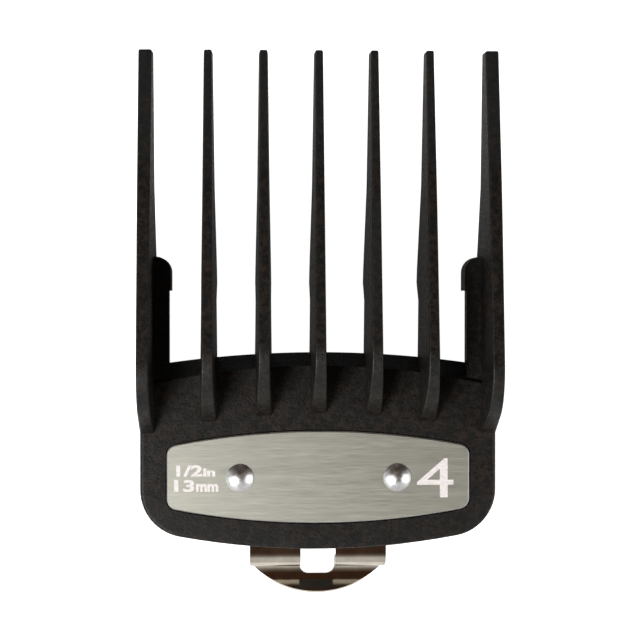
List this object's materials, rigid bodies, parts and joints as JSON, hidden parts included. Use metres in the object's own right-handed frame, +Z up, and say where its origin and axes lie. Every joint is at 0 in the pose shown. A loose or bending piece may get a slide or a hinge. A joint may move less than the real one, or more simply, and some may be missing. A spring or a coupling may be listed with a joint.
{
  "type": "clipper guard comb",
  "caption": "Clip-on guard comb for a hair clipper: long-toothed moulded comb with side guides, a riveted badge plate and a spring clip that snaps over the blade heel.",
  "frame": {"origin": "centre of the whole comb's box on the surface it rests on", "axes": "+X across the teeth, +Y towards the tooth tips, +Z up through the badge"},
  "size_m": [0.0544, 0.0834, 0.018],
  "materials": {
    "black_plastic": "satin moulded black with a fine grain",
    "brushed_badge": "brushed along the comb's width",
    "rivet_metal": "satin",
    "plated_spring_steel": "polished plating"
  },
  "bodies": {
    "comb": {"comb_body": "black_plastic", "badge_plate": "brushed_badge", "rivet_left": "rivet_metal", "rivet_right": "rivet_metal", "clip_plate": "plated_spring_steel"},
    "clip": {"clip_tab": "plated_spring_steel"}
  },
  "joints": [
    {"name": "clip_flex", "type": "hinge", "parent": "comb", "child": "clip", "pos_m": [0, -0.0346, 0.0054], "axis": [-1, 0, 0], "range_deg": [0, 12], "stiffness_Nm_per_rad": 0.5}
  ]
}
